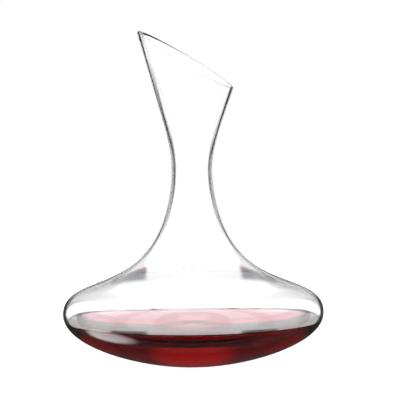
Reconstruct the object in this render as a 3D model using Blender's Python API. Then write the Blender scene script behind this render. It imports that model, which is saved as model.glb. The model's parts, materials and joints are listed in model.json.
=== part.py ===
"""Wine decanter: a one-piece blown glass vessel with a wide bowl, a slender neck and a slanted flared mouth,
holding one bottle of red wine. Units are metres and +Z is up. The decanter stands on z = 0 with its axis on the
origin, and its mouth reaches highest, for pouring, towards -X."""

import math

import bmesh
import bpy
from mathutils import Vector
from mathutils.geometry import interpolate_bezier

MM = 0.001

# Foot, bowl, shoulder, waist and lip of the outside, each by radius and height, with the glass thickness there.
FOOT_RADIUS = 23.1 * MM
FOOT_WALL = 4.0 * MM
BOWL_RADIUS = 111.0 * MM
BOWL_HEIGHT = 43.5 * MM
BOWL_WALL = 1.8 * MM
SHOULDER_RADIUS = 40.3 * MM
SHOULDER_HEIGHT = 94.5 * MM
SHOULDER_WALL = 1.9 * MM
WAIST_RADIUS = 17.3 * MM
WAIST_HEIGHT = 164.6 * MM
WAIST_WALL = 2.0 * MM
LIP_RADIUS = 49.6 * MM
LIP_HEIGHT = 283.0 * MM
LIP_WALL = 1.9 * MM

# The outside curves from one of these knots to the next: its direction there in degrees (0 runs straight out,
# 90 straight up), and how far it holds that direction before and after the knot.
OUTSIDE_KNOTS = (
    (FOOT_RADIUS, 0.0, FOOT_WALL, 0.0, 0.0, 14.0 * MM),
    (BOWL_RADIUS, BOWL_HEIGHT, BOWL_WALL, 90.0, 28.7 * MM, 26.7 * MM),
    (SHOULDER_RADIUS, SHOULDER_HEIGHT, SHOULDER_WALL, 132.2, 42.5 * MM, 28.3 * MM),
    (WAIST_RADIUS, WAIST_HEIGHT, WAIST_WALL, 90.0, 15.2 * MM, 23.9 * MM),
    (LIP_RADIUS, LIP_HEIGHT, LIP_WALL, 72.6, 75.3 * MM, 0.0),
)

# Punt: the hollow pushed up into the middle of the base. It leaves a flat ring, out to the foot, to stand on.
PUNT_RADIUS = 15.0 * MM
PUNT_DEPTH = 6.0 * MM
INNER_BASE_RISE = 4.5 * MM

# Mouth: the flare leans a little towards +X as it rises, and a slanting plane ends it, highest at -X.
MOUTH_LEAN = 4.3 * MM
MOUTH_LEAN_POWER = 1.3
MOUTH_SLANT = math.radians(30.5)
RIM_ROUNDING = 0.8 * MM

# Wine: one bottle poured in, with a fine gap to the glass so that the two stay separate solids.
WINE_VOLUME = 750e-6
WINE_GAP = 0.3 * MM

# How finely the surfaces are divided: steps round the axis, and the longest and most bent step up the wall.
SEGMENTS = 48
LONGEST_STEP = 25 * MM
MOST_BENT_STEP = math.radians(14)
BASE_ROWS = 4
RIM_ROWS = 4
CURVE_SAMPLES = 240


def clear_scene():
    for obj in list(bpy.data.objects):
        bpy.data.objects.remove(obj, do_unlink=True)


def unit(degrees):
    return Vector((math.cos(math.radians(degrees)), math.sin(math.radians(degrees))))


def wall_curve(start, end, depth):
    """Finely sampled points between two knots, at a share of the wall's depth: 0 outside, 1 inside."""
    start_point = Vector(start[:2])
    end_point = Vector(end[:2])
    start_reach = start_point + unit(start[3]) * start[5]
    end_reach = end_point - unit(end[3]) * end[4]
    curve = interpolate_bezier(start_point, start_reach, end_reach, end_point, CURVE_SAMPLES)
    points = []
    for i, point in enumerate(curve):
        along = (curve[min(i + 1, len(curve) - 1)] - curve[max(i - 1, 0)]).normalized()
        inwards = Vector((-along.y, along.x))
        share = i / (len(curve) - 1)
        blend = share * share * (3 - 2 * share)
        wall = start[2] + (end[2] - start[2]) * blend
        points.append(point + inwards * wall * depth)
    return points


def thinned(points):
    """A finely sampled curve brought down to a few points, closest together where it bends most."""
    travelled = [0.0]
    for i in range(1, len(points)):
        step = points[i] - points[i - 1]
        bend = abs(step.angle_signed(points[min(i + 1, len(points) - 1)] - points[i], 0.0))
        travelled.append(travelled[-1] + step.length / LONGEST_STEP + bend / MOST_BENT_STEP)
    rows = math.ceil(travelled[-1])
    chosen = [points[0]]
    for row in range(1, rows):
        wanted = travelled[-1] * row / rows
        after = next(i for i, value in enumerate(travelled) if value > wanted)
        share = (wanted - travelled[after - 1]) / (travelled[after] - travelled[after - 1])
        chosen.append(points[after - 1].lerp(points[after], share))
    chosen.append(points[-1])
    return chosen


def dome(radius, rise, edge_height):
    """A bell-shaped rise on the axis, given from its top out to its level edge."""
    points = []
    for row in range(BASE_ROWS + 1):
        share = row / BASE_ROWS
        points.append(Vector((radius * share, edge_height + rise * (1 - share * share) ** 2)))
    return points


def joined(curves):
    points = list(curves[0])
    for curve in curves[1:]:
        points.extend(curve[1:])
    return points


def radius_at(points, height):
    """Radius of a rising curve at a height. Past its end the curve runs straight on."""
    after = len(points) - 1
    for i in range(1, len(points)):
        if points[i].y > height:
            after = i
            break
    low = points[after - 1]
    high = points[after]
    return low.x + (high.x - low.x) * (height - low.y) / (high.y - low.y)


def lean_at(height):
    climbed = max(height - WAIST_HEIGHT, 0.0) / (LIP_HEIGHT - WAIST_HEIGHT)
    return MOUTH_LEAN * climbed ** MOUTH_LEAN_POWER


def mouth_plane(x):
    """Height of the slanting plane where the walls end and the rim's rounding starts."""
    top_corner = MOUTH_LEAN - LIP_RADIUS
    return LIP_HEIGHT - (x - top_corner) * math.tan(MOUTH_SLANT)


def flare_top(flare, angle):
    """Height at which the flare meets the mouth's plane, on one side of the neck."""
    low = WAIST_HEIGHT
    high = LIP_HEIGHT
    for _ in range(40):
        middle = (low + high) / 2
        x = radius_at(flare, middle) * math.cos(angle) + lean_at(middle)
        if middle < mouth_plane(x):
            low = middle
        else:
            high = middle
    return low


def rounded_rim(outer_end, inner_end):
    """Points over the end of the wall, from its outside to its inside."""
    points = []
    for row in range(RIM_ROWS + 1):
        turn = math.pi * row / RIM_ROWS
        across = (1 - math.cos(turn)) / 2
        points.append(outer_end.lerp(inner_end, across) + Vector((0.0, RIM_ROUNDING * math.sin(turn))))
    return points


def turned(bm, profile):
    """Spins a profile, given as radius and height, once round Z."""
    vertices = [bm.verts.new((point.x, 0.0, point.y)) for point in profile]
    edges = [bm.edges.new(pair) for pair in zip(vertices, vertices[1:])]
    bmesh.ops.spin(
        bm,
        geom=vertices + edges,
        axis=(0.0, 0.0, 1.0),
        cent=(0.0, 0.0, 0.0),
        angle=math.tau,
        steps=SEGMENTS,
        use_merge=True,
    )
    bmesh.ops.remove_doubles(bm, verts=bm.verts, dist=0.001 * MM)
    bmesh.ops.recalc_face_normals(bm, faces=bm.faces)


def slant_flare(bm, outer, inner):
    """Slides each vertex of the flare down its own side of the neck, so that the walls end in the mouth's plane,
    and leans the flare. A vertex keeps its place across the wall."""
    for vertex in bm.verts:
        height = vertex.co.z
        if height <= WAIST_HEIGHT + 0.01 * MM:
            continue
        angle = math.atan2(vertex.co.y, vertex.co.x)
        outer_radius = radius_at(outer, height)
        wall = outer_radius - radius_at(inner, height)
        across = (outer_radius - math.hypot(vertex.co.x, vertex.co.y)) / wall
        across = min(max(across, 0.0), 1.0)
        full_height = outer[-1].y + (inner[-1].y - outer[-1].y) * across
        climbed = (height - WAIST_HEIGHT) / (full_height - WAIST_HEIGHT)
        ends = []
        for curve in (outer, inner):
            new_height = WAIST_HEIGHT + (flare_top(curve, angle) - WAIST_HEIGHT) * climbed
            ends.append(Vector((radius_at(curve, new_height), new_height)))
        place = ends[0].lerp(ends[1], across)
        vertex.co.x = place.x * math.cos(angle) + lean_at(place.y)
        vertex.co.y = place.x * math.sin(angle)
        vertex.co.z = place.y


def finished(name, bm, material):
    mesh = bpy.data.meshes.new(name)
    bm.to_mesh(mesh)
    bm.free()
    mesh.materials.append(material)
    mesh.shade_smooth()
    mesh.set_sharp_from_angle(angle=math.radians(35))
    obj = bpy.data.objects.new(name, mesh)
    bpy.context.scene.collection.objects.link(obj)
    return obj


def clear_material(name, colour, ior):
    material = bpy.data.materials.new(name)
    material.use_nodes = True
    shader = material.node_tree.nodes["Principled BSDF"]
    shader.inputs["Base Color"].default_value = (*colour, 1.0)
    shader.inputs["Roughness"].default_value = 0.0
    shader.inputs["Metallic"].default_value = 0.0
    shader.inputs["Transmission Weight"].default_value = 1.0
    shader.inputs["IOR"].default_value = ior
    return material


def wine_level(inside):
    """Height to which the wine fills the inside, which is given from the axis outwards and up."""
    filled = 0.0
    for low, high in zip(inside, inside[1:]):
        # Where the inside falls away from the dome, the slice is negative: wine that the dome displaces.
        section = low.x ** 2 + low.x * high.x + high.x ** 2
        added = math.pi * section / 3 * (high.y - low.y)
        if filled + added > WINE_VOLUME:
            return low.y + (high.y - low.y) * (WINE_VOLUME - filled) / added
        filled += added
    raise ValueError("the bowl is smaller than the wine poured into it")


def shrunk(points, gap):
    """A profile moved towards the inside of the bowl by a gap, square to itself."""
    moved = []
    for i, point in enumerate(points):
        along = (points[min(i + 1, len(points) - 1)] - points[max(i - 1, 0)]).normalized()
        moved.append(point + Vector((-along.y, along.x)) * gap)
    moved[0].x = 0.0
    return moved


def build_glass(material):
    spans = list(zip(OUTSIDE_KNOTS, OUTSIDE_KNOTS[1:]))
    outside = [wall_curve(start, end, 0.0) for start, end in spans]
    inside = [wall_curve(start, end, 1.0) for start, end in spans]
    underside = dome(PUNT_RADIUS, PUNT_DEPTH, 0.0) + [Vector((FOOT_RADIUS, 0.0))]
    floor = dome(FOOT_RADIUS, INNER_BASE_RISE, FOOT_WALL)
    outer_profile = joined([underside] + [thinned(curve) for curve in outside])
    inner_profile = joined([floor] + [thinned(curve) for curve in inside])
    bm = bmesh.new()
    rim = rounded_rim(outer_profile[-1], inner_profile[-1])
    turned(bm, outer_profile + rim[1:-1] + inner_profile[::-1])
    slant_flare(bm, outside[-1], inside[-1])
    finished("glass_vessel", bm, material)
    return inner_profile


def build_wine(inner_profile, material):
    level = wine_level(inner_profile)
    inner_profile = shrunk(inner_profile, WINE_GAP)
    surface = next(i for i, point in enumerate(inner_profile) if point.y > level)
    below = inner_profile[surface - 1]
    above = inner_profile[surface]
    edge = below.lerp(above, (level - below.y) / (above.y - below.y))
    bm = bmesh.new()
    turned(bm, inner_profile[:surface] + [edge, Vector((0.0, level))])
    finished("wine", bm, material)


clear_scene()
inside_of_glass = build_glass(clear_material("blown_glass", (1.0, 1.0, 1.0), 1.5))
build_wine(inside_of_glass, clear_material("red_wine", (0.35, 0.01, 0.03), 1.34))
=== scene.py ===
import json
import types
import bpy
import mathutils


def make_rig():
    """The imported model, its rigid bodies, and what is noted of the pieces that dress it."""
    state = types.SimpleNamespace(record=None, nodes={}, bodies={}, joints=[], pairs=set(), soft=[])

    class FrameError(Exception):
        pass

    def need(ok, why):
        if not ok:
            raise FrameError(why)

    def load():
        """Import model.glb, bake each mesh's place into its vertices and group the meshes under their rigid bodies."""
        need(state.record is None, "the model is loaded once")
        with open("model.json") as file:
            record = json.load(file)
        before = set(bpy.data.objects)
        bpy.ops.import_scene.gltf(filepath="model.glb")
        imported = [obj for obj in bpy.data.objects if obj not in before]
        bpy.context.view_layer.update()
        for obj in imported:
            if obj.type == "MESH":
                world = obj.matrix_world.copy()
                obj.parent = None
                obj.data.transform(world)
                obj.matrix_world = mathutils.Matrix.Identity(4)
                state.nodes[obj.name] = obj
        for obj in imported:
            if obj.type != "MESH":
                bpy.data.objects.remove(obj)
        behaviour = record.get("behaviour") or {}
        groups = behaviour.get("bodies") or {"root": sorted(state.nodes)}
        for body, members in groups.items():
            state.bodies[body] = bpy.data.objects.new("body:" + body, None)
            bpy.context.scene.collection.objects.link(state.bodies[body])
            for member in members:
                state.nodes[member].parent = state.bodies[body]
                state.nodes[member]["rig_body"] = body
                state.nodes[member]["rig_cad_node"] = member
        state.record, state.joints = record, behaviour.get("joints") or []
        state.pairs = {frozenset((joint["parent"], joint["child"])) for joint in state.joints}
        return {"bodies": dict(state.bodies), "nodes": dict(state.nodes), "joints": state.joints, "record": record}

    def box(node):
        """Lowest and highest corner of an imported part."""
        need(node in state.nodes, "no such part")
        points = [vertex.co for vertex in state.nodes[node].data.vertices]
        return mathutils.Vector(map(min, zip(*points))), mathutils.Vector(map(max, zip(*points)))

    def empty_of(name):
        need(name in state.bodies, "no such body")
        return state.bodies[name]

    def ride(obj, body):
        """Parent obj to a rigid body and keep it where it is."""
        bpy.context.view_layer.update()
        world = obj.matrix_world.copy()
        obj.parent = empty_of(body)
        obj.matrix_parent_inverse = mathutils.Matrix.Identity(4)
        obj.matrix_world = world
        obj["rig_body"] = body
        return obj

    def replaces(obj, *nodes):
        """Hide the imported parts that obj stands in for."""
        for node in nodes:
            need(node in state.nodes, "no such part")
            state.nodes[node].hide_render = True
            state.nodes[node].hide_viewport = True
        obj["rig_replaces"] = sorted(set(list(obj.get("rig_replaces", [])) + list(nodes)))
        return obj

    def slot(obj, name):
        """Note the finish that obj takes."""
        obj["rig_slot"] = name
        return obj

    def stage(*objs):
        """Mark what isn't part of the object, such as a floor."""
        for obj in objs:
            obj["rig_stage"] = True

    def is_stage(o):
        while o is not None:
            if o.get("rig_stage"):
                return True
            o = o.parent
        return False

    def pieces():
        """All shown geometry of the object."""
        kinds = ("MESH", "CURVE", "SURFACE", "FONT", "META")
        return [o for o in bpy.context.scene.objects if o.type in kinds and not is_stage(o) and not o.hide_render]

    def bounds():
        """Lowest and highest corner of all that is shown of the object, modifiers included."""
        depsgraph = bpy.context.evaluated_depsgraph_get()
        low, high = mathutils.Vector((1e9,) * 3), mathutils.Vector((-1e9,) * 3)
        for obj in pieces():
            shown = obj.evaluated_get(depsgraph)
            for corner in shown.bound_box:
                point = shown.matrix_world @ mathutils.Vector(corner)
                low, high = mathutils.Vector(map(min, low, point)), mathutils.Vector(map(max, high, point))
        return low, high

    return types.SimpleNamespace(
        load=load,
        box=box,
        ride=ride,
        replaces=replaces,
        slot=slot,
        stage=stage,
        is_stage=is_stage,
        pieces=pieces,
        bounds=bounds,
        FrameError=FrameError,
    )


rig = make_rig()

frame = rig.load()
cad_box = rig.bounds()

import json
import math

import bmesh
import bpy


# --------------------------------------------------------------------------------------------------
# The glass vessel. It is one bubble of clear soda-lime glass, blown and spun into a wide low bowl and
# a slender neck, pushed up at the base into a punt, then cut on a slant across the flared mouth and
# fire-polished.
# --------------------------------------------------------------------------------------------------
MM = 0.001
vessel_low, vessel_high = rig.box("glass_vessel")
bowl_radius = (vessel_high.x - vessel_low.x) / 2
foot_radius = 23.1 * MM
lip_height = 283.0 * MM
lip_reach = 45.3 * MM
mouth_slant = math.radians(30.5)
turning_steps = 192

# The flare is straight from its start to its end, in millimetres. It ends a little past the lip, so
# that the mouth can be cut across it.
flare_start = 211.3
flare_end = 286.8

# Outside profile from the top of the punt out and up to the lip: radius, height, direction (0 straight
# out, 90 straight up) and the reach of the curve before and after, in millimetres and degrees.
vessel_profile = (
    (0.0, 6.0, 0.0, 0.0, 4.5),
    (15.0, 0.0, 0.0, 4.5, 2.0),
    (foot_radius / MM, 0.0, 0.0, 2.0, 14.0),
    (bowl_radius / MM, 43.5, 90.0, 28.7, 26.7),
    (40.3, 94.5, 132.2, 42.5, 28.3),
    (17.3, 164.6, 90.0, 15.2, 13.15),
    (26.67, flare_start, 72.4, 21.75, 1.0),
    (50.8, flare_end, 72.4, 1.0, 0.0),
)


def pick(piece, kind, wanted):
    """Deselects all of a piece in edit mode, then selects its vertices or edges that pass a test."""
    bpy.ops.mesh.select_all(action="DESELECT")
    bpy.ops.mesh.select_mode(type=kind)
    shape = bmesh.from_edit_mesh(piece.data)
    for part in shape.verts if kind == "VERT" else shape.edges:
        part.select = wanted(part)
    shape.select_flush_mode()
    bmesh.update_edit_mesh(piece.data)


bpy.ops.object.select_all(action="DESELECT")
bpy.ops.curve.primitive_bezier_curve_add(location=(0.0, 0.0, 0.0))
vessel = bpy.context.object
vessel.data.dimensions = "3D"
vessel.data.resolution_u = 22
outline = vessel.data.splines[0]
outline.bezier_points.add(len(vessel_profile) - 2)
for knot, (radius, height, turn, before, after) in zip(outline.bezier_points, vessel_profile):
    along = (math.cos(math.radians(turn)), math.sin(math.radians(turn)))
    knot.handle_left_type = "FREE"
    knot.handle_right_type = "FREE"
    knot.co = (radius * MM, 0.0, height * MM)
    knot.handle_left = ((radius - along[0] * before) * MM, 0.0, (height - along[1] * before) * MM)
    knot.handle_right = ((radius + along[0] * after) * MM, 0.0, (height + along[1] * after) * MM)
bpy.ops.object.convert(target="MESH")
vessel = bpy.context.object
vessel.name = "glass_vessel_blown"

# The straight flare stays one long step until the mouth is cut.
bpy.ops.object.mode_set(mode="EDIT")
pick(vessel, "VERT", lambda vertex: (flare_start + 0.2) * MM < vertex.co.z < (flare_end - 0.2) * MM)
bpy.ops.mesh.dissolve_verts()
bpy.ops.mesh.select_all(action="SELECT")
bpy.ops.mesh.spin(steps=turning_steps, angle=math.tau, center=(0.0, 0.0, 0.0), axis=(0.0, 0.0, 1.0))
bpy.ops.mesh.select_all(action="SELECT")
bpy.ops.mesh.remove_doubles(threshold=0.002 * MM)
bpy.ops.mesh.normals_make_consistent(inside=True)

# The flare leans a little away from the pouring side, more and more towards its end.
lean_falloffs = (("LINEAR", 2.6 * MM), ("SHARP", 1.7 * MM))
lean_reach = 125 * MM
for falloff, push in lean_falloffs:
    pick(vessel, "VERT", lambda vertex: vertex.co.z > (flare_end - 0.2) * MM)
    bpy.ops.transform.translate(
        value=(push, 0.0, 0.0),
        use_proportional_edit=True,
        proportional_edit_falloff=falloff,
        proportional_size=lean_reach,
    )

# The mouth is cut across, and the long straight faces under the cut are divided.
bpy.ops.mesh.select_all(action="SELECT")
bpy.ops.mesh.bisect(
    plane_co=(-lip_reach, 0.0, lip_height),
    plane_no=(math.sin(mouth_slant), 0.0, math.cos(mouth_slant)),
    clear_outer=True,
)
pick(vessel, "EDGE", lambda edge: edge.calc_length() > 15 * MM)
bpy.ops.mesh.subdivide(number_cuts=15)
bpy.ops.mesh.select_mode(type="VERT")
bpy.ops.object.mode_set(mode="OBJECT")

# The wall is thickest in the base, thins over the bowl and gathers again in the neck. Each pair is a
# height and the thickness there, in millimetres.
base_wall = 4.0
wall_by_height = ((0.0, base_wall), (43.5, 1.8), (61.0, 1.5), (94.5, 1.9), (164.6, 2.0), (283.0, 1.9))
punt_top = 7.0
wall = vessel.vertex_groups.new(name="wall")
for vertex in vessel.data.vertices:
    height = vertex.co.z / MM
    thickness = base_wall
    in_foot = height < punt_top and math.hypot(vertex.co.x, vertex.co.y) < foot_radius
    for (low, low_wall), (high, high_wall) in zip(wall_by_height, wall_by_height[1:]):
        if low <= height <= high and not in_foot:
            share = (height - low) / (high - low)
            thickness = low_wall + (high_wall - low_wall) * share * share * (3 - 2 * share)
    wall.add([vertex.index], thickness / base_wall, "REPLACE")
solidify = vessel.modifiers.new("wall", "SOLIDIFY")
solidify.thickness = base_wall * MM
solidify.offset = -1.0
solidify.vertex_group = "wall"
solidify.use_even_offset = True
solidify.use_quality_normals = True
bpy.ops.object.modifier_apply(modifier="wall")

# Fire-polishing rounds both edges of the cut mouth into one soft rim.
polish = vessel.modifiers.new("fire_polish", "BEVEL")
polish.width = 1.05 * MM
polish.segments = 5
polish.limit_method = "ANGLE"
polish.angle_limit = math.radians(55)
polish.use_clamp_overlap = False
bpy.ops.object.modifier_apply(modifier="fire_polish")
bpy.ops.object.shade_smooth()

# Blown glass keeps soft waves from the turning, a few faint handling marks, and wear on the ring it
# stands on.
blown = bpy.data.node_groups.new("blown_surface", "ShaderNodeTree")
blown.interface.new_socket("Place", in_out="INPUT", socket_type="NodeSocketVector")
blown.interface.new_socket("Roughness", in_out="OUTPUT", socket_type="NodeSocketFloat")
blown.interface.new_socket("Normal", in_out="OUTPUT", socket_type="NodeSocketVector")
given = blown.nodes.new("NodeGroupInput")
result = blown.nodes.new("NodeGroupOutput")
waves = blown.nodes.new("ShaderNodeTexNoise")
waves.inputs["Scale"].default_value = 14.0
waves.inputs["Detail"].default_value = 1.0
ripple = blown.nodes.new("ShaderNodeBump")
ripple.inputs["Strength"].default_value = 0.12
ripple.inputs["Distance"].default_value = 0.4 * MM
smears = blown.nodes.new("ShaderNodeTexNoise")
smears.inputs["Scale"].default_value = 55.0
smears.inputs["Detail"].default_value = 6.0
marks = blown.nodes.new("ShaderNodeMapRange")
marks.inputs["From Min"].default_value = 0.60
marks.inputs["From Max"].default_value = 0.80
marks.inputs["To Max"].default_value = 0.05
spot = blown.nodes.new("ShaderNodeSeparateXYZ")
wear = blown.nodes.new("ShaderNodeMapRange")
wear.inputs["From Min"].default_value = 0.25 * MM
wear.inputs["From Max"].default_value = 0.02 * MM
wear.inputs["To Max"].default_value = 0.22
either = blown.nodes.new("ShaderNodeMath")
either.operation = "MAXIMUM"
blown.links.new(given.outputs["Place"], waves.inputs["Vector"])
blown.links.new(waves.outputs["Fac"], ripple.inputs["Height"])
blown.links.new(ripple.outputs["Normal"], result.inputs["Normal"])
blown.links.new(given.outputs["Place"], smears.inputs["Vector"])
blown.links.new(smears.outputs["Fac"], marks.inputs["Value"])
blown.links.new(given.outputs["Place"], spot.inputs["Vector"])
blown.links.new(spot.outputs["Z"], wear.inputs["Value"])
blown.links.new(marks.outputs["Result"], either.inputs[0])
blown.links.new(wear.outputs["Result"], either.inputs[1])
blown.links.new(either.outputs["Value"], result.inputs["Roughness"])

clear_glass = bpy.data.materials.new("clear_blown_glass")
clear_glass.use_nodes = True
nodes = clear_glass.node_tree.nodes
links = clear_glass.node_tree.links
shader = nodes["Principled BSDF"]
shader.inputs["Base Color"].default_value = (1.0, 1.0, 1.0, 1.0)
shader.inputs["IOR"].default_value = 1.5
shader.inputs["Transmission Weight"].default_value = 1.0
place = nodes.new("ShaderNodeTexCoord")
surface = nodes.new("ShaderNodeGroup")
surface.node_tree = blown
links.new(place.outputs["Object"], surface.inputs["Place"])
links.new(surface.outputs["Roughness"], shader.inputs["Roughness"])
links.new(surface.outputs["Normal"], shader.inputs["Normal"])
vessel.data.materials.append(clear_glass)

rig.ride(vessel, "root")
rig.replaces(vessel, "glass_vessel")
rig.slot(vessel, "glass")


# --------------------------------------------------------------------------------------------------
# The wine. One bottle of young red, poured in through the mouth. It lies against the glass from the
# punt up to just under the widest part of the bowl, with a narrow rim where it climbs the wall.
# --------------------------------------------------------------------------------------------------
wine_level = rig.box("wine")[1].z
wine_overlap = 0.15 * MM
meniscus_height = 1.0 * MM
meniscus_reach = 3.0 * MM
meniscus_steps = 6
surface_inset = 0.97

bpy.ops.object.select_all(action="DESELECT")
vessel.select_set(True)
bpy.context.view_layer.objects.active = vessel
bpy.ops.object.duplicate()
wine = bpy.context.object
wine.name = "wine_poured"
wine.id_properties_clear()
wine.vertex_groups.clear()

# Only the inner wall of the copy is kept, up to where the wine reaches, pushed a little into the glass.
bpy.ops.object.mode_set(mode="EDIT")
bpy.ops.mesh.select_all(action="SELECT")
bpy.ops.mesh.bisect(
    plane_co=(0.0, 0.0, wine_level + meniscus_height),
    plane_no=(0.0, 0.0, 1.0),
    clear_outer=True,
)
bpy.ops.mesh.select_all(action="DESELECT")
shape = bmesh.from_edit_mesh(wine.data)
on_axis = [vertex for vertex in shape.verts if math.hypot(vertex.co.x, vertex.co.y) < 0.1 * MM]
max(on_axis, key=lambda vertex: vertex.co.z).select = True
bmesh.update_edit_mesh(wine.data)
bpy.ops.mesh.select_linked()
bpy.ops.mesh.select_all(action="INVERT")
bpy.ops.mesh.delete(type="VERT")
bpy.ops.mesh.select_all(action="SELECT")
bpy.ops.mesh.flip_normals()
bpy.ops.transform.shrink_fatten(value=wine_overlap)

# The open edge is drawn inwards in rings that fall away from the wall, and a level surface closes it.
bpy.ops.mesh.select_all(action="DESELECT")
bpy.ops.mesh.select_mode(type="EDGE")
bpy.ops.mesh.select_non_manifold()
shape = bmesh.from_edit_mesh(wine.data)
rim_radius = max(vertex.co.x for vertex in shape.verts if vertex.select)
ring_radius = rim_radius
ring_height = wine_level + meniscus_height
for step in range(1, meniscus_steps + 1):
    share = step / meniscus_steps
    next_radius = rim_radius - meniscus_reach * share
    next_height = wine_level + meniscus_height * (1 - share) ** 3
    drop = next_height - ring_height
    shrink = next_radius / ring_radius
    bpy.ops.mesh.extrude_edges_move(TRANSFORM_OT_translate={"value": (0.0, 0.0, drop)})
    bpy.ops.transform.resize(value=(shrink, shrink, 1.0), center_override=(0.0, 0.0, 0.0))
    ring_radius = next_radius
    ring_height = next_height
bpy.ops.mesh.extrude_edges_move(TRANSFORM_OT_translate={"value": (0.0, 0.0, 0.0)})
bpy.ops.transform.resize(value=(surface_inset, surface_inset, 1.0), center_override=(0.0, 0.0, 0.0))
bpy.ops.mesh.edge_face_add()
bpy.ops.mesh.select_mode(type="VERT")
bpy.ops.mesh.select_all(action="SELECT")
bpy.ops.mesh.normals_make_consistent(inside=False)
bpy.ops.object.mode_set(mode="OBJECT")
bpy.ops.object.shade_smooth()

red_wine = bpy.data.materials.new("red_wine")
red_wine.use_nodes = True
nodes = red_wine.node_tree.nodes
links = red_wine.node_tree.links
shader = nodes["Principled BSDF"]
shader.inputs["Roughness"].default_value = 0.0
shader.inputs["IOR"].default_value = 1.345
shader.inputs["Specular Tint"].default_value = (0.0, 0.0, 0.0, 1.0)
shader.inputs["Transmission Weight"].default_value = 1.0
depth = nodes.new("ShaderNodeVolumeAbsorption")
depth.inputs["Color"].default_value = (0.862, 0.044, 0.333, 1.0)
depth.inputs["Density"].default_value = 90.0
links.new(depth.outputs["Volume"], nodes["Material Output"].inputs["Volume"])

# The liquid lies still, with the faintest swell, and its colour isn't quite even where it meets the glass.
place = nodes.new("ShaderNodeTexCoord")
swell = nodes.new("ShaderNodeTexNoise")
swell.inputs["Scale"].default_value = 9.0
swell.inputs["Detail"].default_value = 0.0
lift = nodes.new("ShaderNodeBump")
lift.inputs["Strength"].default_value = 0.08
lift.inputs["Distance"].default_value = 0.5 * MM
tint = nodes.new("ShaderNodeMix")
tint.data_type = "RGBA"
tint.inputs["A"].default_value = (1.0, 0.985, 0.99, 1.0)
tint.inputs["B"].default_value = (0.96, 0.90, 0.92, 1.0)
links.new(place.outputs["Object"], swell.inputs["Vector"])
links.new(swell.outputs["Fac"], lift.inputs["Height"])
links.new(lift.outputs["Normal"], shader.inputs["Normal"])
links.new(swell.outputs["Fac"], tint.inputs["Factor"])
links.new(tint.outputs["Result"], shader.inputs["Base Color"])
wine.data.materials.clear()
wine.data.materials.append(red_wine)

# Under the wine the inside of the glass hardly reflects, because the two bend light almost alike.
wetted_glass = clear_glass.copy()
wetted_glass.name = "glass_under_wine"
shader = wetted_glass.node_tree.nodes["Principled BSDF"]
shader.inputs["Specular Tint"].default_value = (0.0, 0.0, 0.0, 1.0)
vessel.data.materials.append(wetted_glass)
for face in vessel.data.polygons:
    outwards = face.normal.x * face.center.x + face.normal.y * face.center.y
    on_inner_wall = face.normal.z > 0.2 or outwards < 0
    over_foot = math.hypot(face.center.x, face.center.y) < foot_radius
    if face.center.z < wine_level and on_inner_wall and (not over_foot or face.normal.z > 0):
        face.material_index = 1

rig.ride(wine, "root")
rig.replaces(wine, "wine")
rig.slot(wine, "red_wine")


# --------------------------------------------------------------------------------------------------
# The table. A matt white acrylic sheet, lit from within, that the decanter stands on. The glass
# doesn't bend or mirror it, so that the panels alone draw the edges of the glass.
# --------------------------------------------------------------------------------------------------
table_size = 3.0
table_drop = 0.05 * MM

bpy.ops.object.select_all(action="DESELECT")
bpy.ops.mesh.primitive_plane_add(size=table_size, location=(0.0, 0.0, -table_drop))
table = bpy.context.object
table.name = "white_table"
table.visible_transmission = False
table.visible_glossy = False

acrylic = bpy.data.materials.new("white_acrylic")
acrylic.use_nodes = True
nodes = acrylic.node_tree.nodes
links = acrylic.node_tree.links
shader = nodes["Principled BSDF"]
shader.inputs["Emission Color"].default_value = (1.0, 1.0, 1.0, 1.0)
shader.inputs["Emission Strength"].default_value = 1.0
place = nodes.new("ShaderNodeTexCoord")
grain = nodes.new("ShaderNodeTexNoise")
grain.inputs["Scale"].default_value = 120.0
grain.inputs["Detail"].default_value = 4.0
shade = nodes.new("ShaderNodeMix")
shade.data_type = "RGBA"
shade.inputs["A"].default_value = (0.58, 0.58, 0.58, 1.0)
shade.inputs["B"].default_value = (0.62, 0.62, 0.62, 1.0)
matt = nodes.new("ShaderNodeMapRange")
matt.inputs["To Min"].default_value = 0.55
matt.inputs["To Max"].default_value = 0.65
links.new(place.outputs["Object"], grain.inputs["Vector"])
links.new(grain.outputs["Fac"], shade.inputs["Factor"])
links.new(shade.outputs["Result"], shader.inputs["Base Color"])
links.new(grain.outputs["Fac"], matt.inputs["Value"])
links.new(matt.outputs["Result"], shader.inputs["Roughness"])
table.data.materials.append(acrylic)
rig.stage(table)


# --------------------------------------------------------------------------------------------------
# The navy cards. Two small cards hang close behind the shoulder, one on each side, with soft
# edges. Only light bent by the glass meets them. Their faint navy glow is painted shade, and gives the shoulder its
# two dark patches.
# --------------------------------------------------------------------------------------------------
card_place = (63.0 * MM, 90.0 * MM, 72.0 * MM)
card_width = 40 * MM
card_height = 26 * MM


def worked_out(tree, operation, first, second=0.0):
    """A Math node on two values, either of which may be a plain number."""
    sum_node = tree.nodes.new("ShaderNodeMath")
    sum_node.operation = operation
    for socket, value in zip(sum_node.inputs, (first, second)):
        if isinstance(value, float):
            socket.default_value = value
        else:
            tree.links.new(value, socket)
    return sum_node.outputs["Value"]


def product(tree, *values):
    """Values multiplied together, in turn."""
    total = values[0]
    for value in values[1:]:
        total = worked_out(tree, "MULTIPLY", total, value)
    return total


def falling(tree, value, start, end):
    """1 up to start, then smoothly down to 0 at end."""
    fall = tree.nodes.new("ShaderNodeMapRange")
    fall.interpolation_type = "SMOOTHSTEP"
    fall.inputs["From Min"].default_value = start
    fall.inputs["From Max"].default_value = end
    fall.inputs["To Min"].default_value = 1.0
    fall.inputs["To Max"].default_value = 0.0
    tree.links.new(value, fall.inputs["Value"])
    return fall.outputs["Result"]


def rising(tree, value, start, end):
    """0 up to start, then smoothly up to 1 at end."""
    return worked_out(tree, "SUBTRACT", 1.0, falling(tree, value, start, end))


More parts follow.
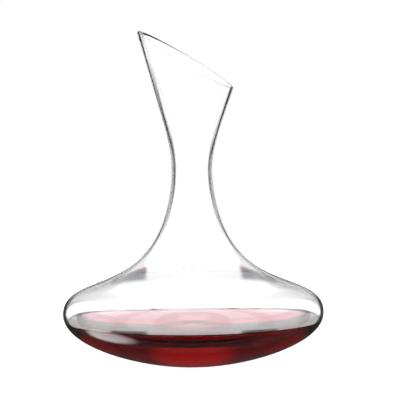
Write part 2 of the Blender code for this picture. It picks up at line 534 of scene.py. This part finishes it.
shade_card_finish = bpy.data.materials.new("navy_painted_shade")
shade_card_finish.use_nodes = True
nodes = shade_card_finish.node_tree.nodes
links = shade_card_finish.node_tree.links
shader = nodes["Principled BSDF"]
shader.inputs["Base Color"].default_value = (0.0, 0.0, 0.0, 1.0)
shader.inputs["Roughness"].default_value = 1.0
shader.inputs["Specular IOR Level"].default_value = 0.0
# The cards are no lamp: this faint navy glow is painted shade, seen only through the glass.
shader.inputs["Emission Color"].default_value = (0.022, 0.040, 0.066, 1.0)
shader.inputs["Emission Strength"].default_value = 1.0
place = nodes.new("ShaderNodeTexCoord")
parts = nodes.new("ShaderNodeSeparateXYZ")
links.new(place.outputs["Object"], parts.inputs["Vector"])
across = worked_out(shade_card_finish.node_tree, "ABSOLUTE", parts.outputs["X"])
cover = product(
    shade_card_finish.node_tree,
    falling(shade_card_finish.node_tree, across, 14 * MM, 20 * MM),
    rising(shade_card_finish.node_tree, parts.outputs["Z"], -9 * MM, -4 * MM),
    falling(shade_card_finish.node_tree, parts.outputs["Z"], 4 * MM, 10 * MM),
)
links.new(cover, shader.inputs["Alpha"])

for side, name in ((-1, "navy_card_left"), (1, "navy_card_right")):
    bpy.ops.object.select_all(action="DESELECT")
    location = (card_place[0] * side, card_place[1], card_place[2])
    bpy.ops.mesh.primitive_plane_add(size=1.0, location=location)
    card = bpy.context.object
    card.name = name
    bpy.ops.object.mode_set(mode="EDIT")
    bpy.ops.transform.resize(value=(card_width, card_height, 1.0))
    bpy.ops.transform.rotate(value=math.radians(90), orient_axis="X", center_override=card.location)
    bpy.ops.object.mode_set(mode="OBJECT")
    card.visible_camera = False
    card.visible_diffuse = False
    card.visible_glossy = False
    card.visible_shadow = False
    card.data.materials.append(shade_card_finish)
    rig.stage(card)


# --------------------------------------------------------------------------------------------------
# The studio. Light bent by the glass meets a white panel behind each side, a soft light overhead and
# dark gaps between them. Light mirrored by the glass meets softboxes at the corners and a bright patch
# low on the left.
# --------------------------------------------------------------------------------------------------
panel_light = 1.3
gap_colour = (0.012, 0.018, 0.030, 1.0)
floor_glow = 0.72
overhead_light = 0.45
overhead_light_by_panels = 2.05
flank_light = 0.6
softbox_turn = math.radians(46)
softbox_light = 2.5
patch_direction = (-0.70, 0.2, -0.68)
patch_light = 5.0
dim_room = 0.05

panels = bpy.data.node_groups.new("studio_panels", "ShaderNodeTree")
panels.interface.new_socket("Direction", in_out="INPUT", socket_type="NodeSocketVector")
panels.interface.new_socket("Colour", in_out="OUTPUT", socket_type="NodeSocketColor")
nodes = panels.nodes
links = panels.links
given = nodes.new("NodeGroupInput")
result = nodes.new("NodeGroupOutput")
parts = nodes.new("ShaderNodeSeparateXYZ")
links.new(given.outputs["Direction"], parts.inputs["Vector"])
height = parts.outputs["Z"]
turn = worked_out(panels, "ARCTAN2", parts.outputs["X"], parts.outputs["Y"])
off_wall = worked_out(panels, "PINGPONG", turn, math.radians(45))
off_corner = worked_out(panels, "SUBTRACT", math.radians(45), off_wall)

# Behind each side stands a panel, from a little above eye level down. A low one fills each corner.
tall = falling(panels, off_wall, math.radians(10.0), math.radians(20.0))
walls = product(panels, tall, rising(panels, height, -0.45, -0.33), falling(panels, height, 0.185, 0.25))
corner = product(
    panels,
    falling(panels, off_corner, math.radians(11.0), math.radians(14.0)),
    falling(panels, height, -0.16, -0.12),
)
glow = product(panels, falling(panels, height, -0.42, -0.34), floor_glow)

# The soft light overhead is brightest over the panels, and spills down on both flanks of each.
spread = worked_out(panels, "ADD", overhead_light, product(panels, tall, overhead_light_by_panels))
over = product(panels, rising(panels, height, 0.36, 0.46), falling(panels, height, 0.76, 0.82), spread)
flank = product(
    panels,
    rising(panels, off_wall, math.radians(11), math.radians(15)),
    flank_light,
    falling(panels, off_wall, math.radians(26), math.radians(31)),
    rising(panels, height, 0.15, 0.20),
    falling(panels, height, 0.42, 0.50),
)
lit = walls
for light in (glow, over, flank, corner):
    lit = worked_out(panels, "MAXIMUM", lit, light)
mix = nodes.new("ShaderNodeMix")
mix.data_type = "RGBA"
mix.clamp_factor = False
mix.inputs["A"].default_value = gap_colour
mix.inputs["B"].default_value = (panel_light, panel_light, panel_light, 1.0)
links.new(lit, mix.inputs["Factor"])
links.new(mix.outputs["Result"], result.inputs["Colour"])

room = bpy.data.worlds.new("studio")
bpy.context.scene.world = room
room.use_nodes = True
tree = room.node_tree
nodes = tree.nodes
links = tree.links
direction = nodes.new("ShaderNodeTexCoord")
around = nodes.new("ShaderNodeGroup")
around.node_tree = panels
links.new(direction.outputs["Generated"], around.inputs["Direction"])

parts = nodes.new("ShaderNodeSeparateXYZ")
links.new(direction.outputs["Generated"], parts.inputs["Vector"])
turn = worked_out(tree, "ARCTAN2", parts.outputs["X"], parts.outputs["Y"])
fold = worked_out(tree, "PINGPONG", turn, math.radians(90))
away = worked_out(tree, "ABSOLUTE", worked_out(tree, "SUBTRACT", fold, softbox_turn))
softboxes = product(
    tree,
    falling(tree, away, math.radians(10), math.radians(16)),
    rising(tree, parts.outputs["Z"], -0.14, -0.05),
    softbox_light,
)
towards = nodes.new("ShaderNodeVectorMath")
towards.operation = "DOT_PRODUCT"
towards.inputs[1].default_value = patch_direction
links.new(direction.outputs["Generated"], towards.inputs[0])
patch = product(tree, rising(tree, towards.outputs["Value"], 0.92, 0.985), patch_light)
mirrored_light = worked_out(tree, "ADD", worked_out(tree, "ADD", softboxes, patch), dim_room)
mirrored = nodes.new("ShaderNodeCombineXYZ")
for axis in "XYZ":
    links.new(mirrored_light, mirrored.inputs[axis])

# What looks past the glass sees plain white.
seen = nodes.new("ShaderNodeLightPath")
bent = nodes.new("ShaderNodeMix")
bent.data_type = "RGBA"
links.new(seen.outputs["Is Transmission Ray"], bent.inputs["Factor"])
links.new(mirrored.outputs["Vector"], bent.inputs["A"])
links.new(around.outputs["Colour"], bent.inputs["B"])
plain = nodes.new("ShaderNodeMix")
plain.data_type = "RGBA"
plain.inputs["B"].default_value = (1.0, 1.0, 1.0, 1.0)
links.new(seen.outputs["Is Camera Ray"], plain.inputs["Factor"])
links.new(bent.outputs["Result"], plain.inputs["A"])
links.new(plain.outputs["Result"], nodes["Background"].inputs["Color"])

# White stays white, and light may pass many walls of glass and wine.
most_bounces = 32
bpy.context.scene.view_settings.view_transform = "Standard"
bpy.context.scene.cycles.max_bounces = most_bounces
bpy.context.scene.cycles.transmission_bounces = most_bounces
bpy.context.scene.cycles.transparent_max_bounces = most_bounces


# --------------------------------------------------------------------------------------------------
# The camera. It stands level with the middle of the decanter, a little under a metre away, and looks
# very slightly down.
# --------------------------------------------------------------------------------------------------
camera_place = (6.8 * MM, -945.0 * MM, 149.4 * MM)
camera_dip = math.radians(0.62)
camera_roll = math.radians(0.64)

bpy.ops.object.select_all(action="DESELECT")
bpy.ops.object.camera_add(location=camera_place, rotation=(math.radians(90) - camera_dip, camera_roll, 0.0))
camera = bpy.context.object
camera.data.lens = 99.4
camera.data.sensor_width = 36.0
bpy.context.scene.camera = camera

visual_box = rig.bounds()
sizes = {
    "cad": [list(corner) for corner in cad_box],
    "visual": [list(corner) for corner in visual_box],
}
with open("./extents.json", "w") as file:
    json.dump(sizes, file)
